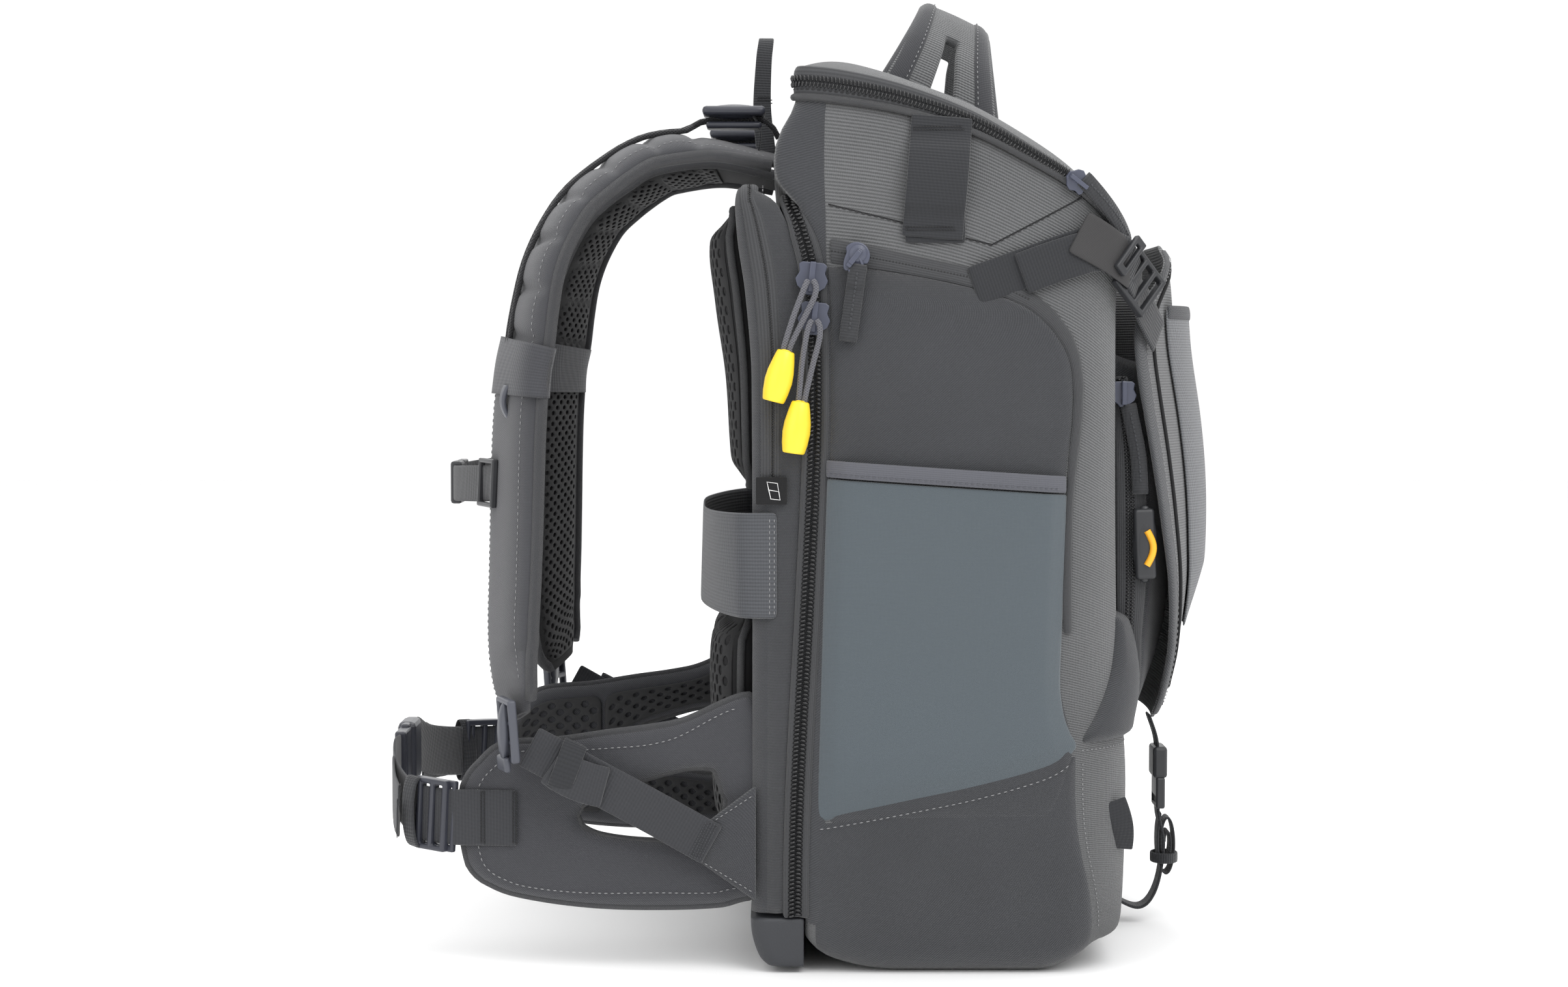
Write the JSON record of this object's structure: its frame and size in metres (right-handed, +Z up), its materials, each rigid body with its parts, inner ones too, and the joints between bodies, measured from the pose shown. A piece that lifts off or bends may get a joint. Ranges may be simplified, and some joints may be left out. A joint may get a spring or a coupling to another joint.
{
  "type": "camera backpack",
  "caption": "Upright padded camera backpack with a domed zip lid, rear-opening main compartment, front flap, side pockets, mesh shoulder straps and a hip belt.",
  "frame": {"origin": "centre of the flat base, on the floor", "axes": "+Z up; the outer front with the flap looks to -Y, the back pads and the harness to +Y; the wearer's left is -X"},
  "size_m": [0.3272, 0.4622, 0.5261],
  "materials": {
    "ribbed_nylon": "coarse ribbed nylon",
    "twill": "fine twill",
    "stretch_cloth": "smooth stretch cloth",
    "air_mesh": "open air mesh over foam",
    "webbing": "woven webbing",
    "zip_tape": "coil zip on woven tape",
    "hardware": "satin moulded",
    "buckle": "satin moulded",
    "pull_cord": "braided cord",
    "black_cord": "braided cord",
    "bead": "satin moulded",
    "base_trim": "coated, hard wearing"
  },
  "bodies": {
    "root": {"main_body": "ribbed_nylon", "top_lid": "ribbed_nylon", "front_flap": "ribbed_nylon", "laptop_compartment": "twill", "front_pocket": "twill", "side_door_left": "twill", "side_door_right": "twill", "top_handle": "twill", "shoulder_strap_left": "twill", "shoulder_strap_right": "twill", "hip_wing_left": "twill", "hip_wing_right": "twill", "gusset_left": "twill", "gusset_right": "twill", "stretch_pocket_left": "stretch_cloth", "stretch_pocket_right": "stretch_cloth", "flap_pocket": "stretch_cloth", "back_pad": "air_mesh", "lumbar_pad": "air_mesh", "trolley_band": "webbing", "side_loop_left": "webbing", "side_loop_right": "webbing", "hang_loop": "webbing", "flap_strap_left": "webbing", "flap_strap_right": "webbing", "tripod_strap": "webbing", "strap_sleeve_left": "webbing", "strap_sleeve_right": "webbing", "sternum_strap": "webbing", "lower_webbing_left": "webbing", "lower_webbing_right": "webbing", "hip_strap_left": "webbing", "hip_strap_right": "webbing", "lid_zip": "zip_tape", "main_zip": "zip_tape", "laptop_zip": "zip_tape", "main_slider_upper": "hardware", "main_slider_lower": "hardware", "door_pull_left": "hardware", "door_pull_right": "hardware", "lid_pull": "hardware", "lifter_lock_left": "hardware", "lifter_lock_right": "hardware", "ladder_lock_left": "hardware", "ladder_lock_right": "hardware", "hip_buckle": "hardware", "hip_adjuster_left": "hardware", "hip_adjuster_right": "hardware", "flap_buckle_left": "buckle", "flap_buckle_right": "buckle", "tripod_buckle": "buckle", "sternum_buckle": "buckle", "pocket_toggle": "buckle", "pull_cord_upper": "pull_cord", "pull_cord_lower": "pull_cord", "lifter_cord_left": "black_cord", "lifter_cord_right": "black_cord", "pull_bead_upper": "bead", "pull_bead_lower": "bead", "base_trim": "base_trim"}
  },
  "joints": []
}
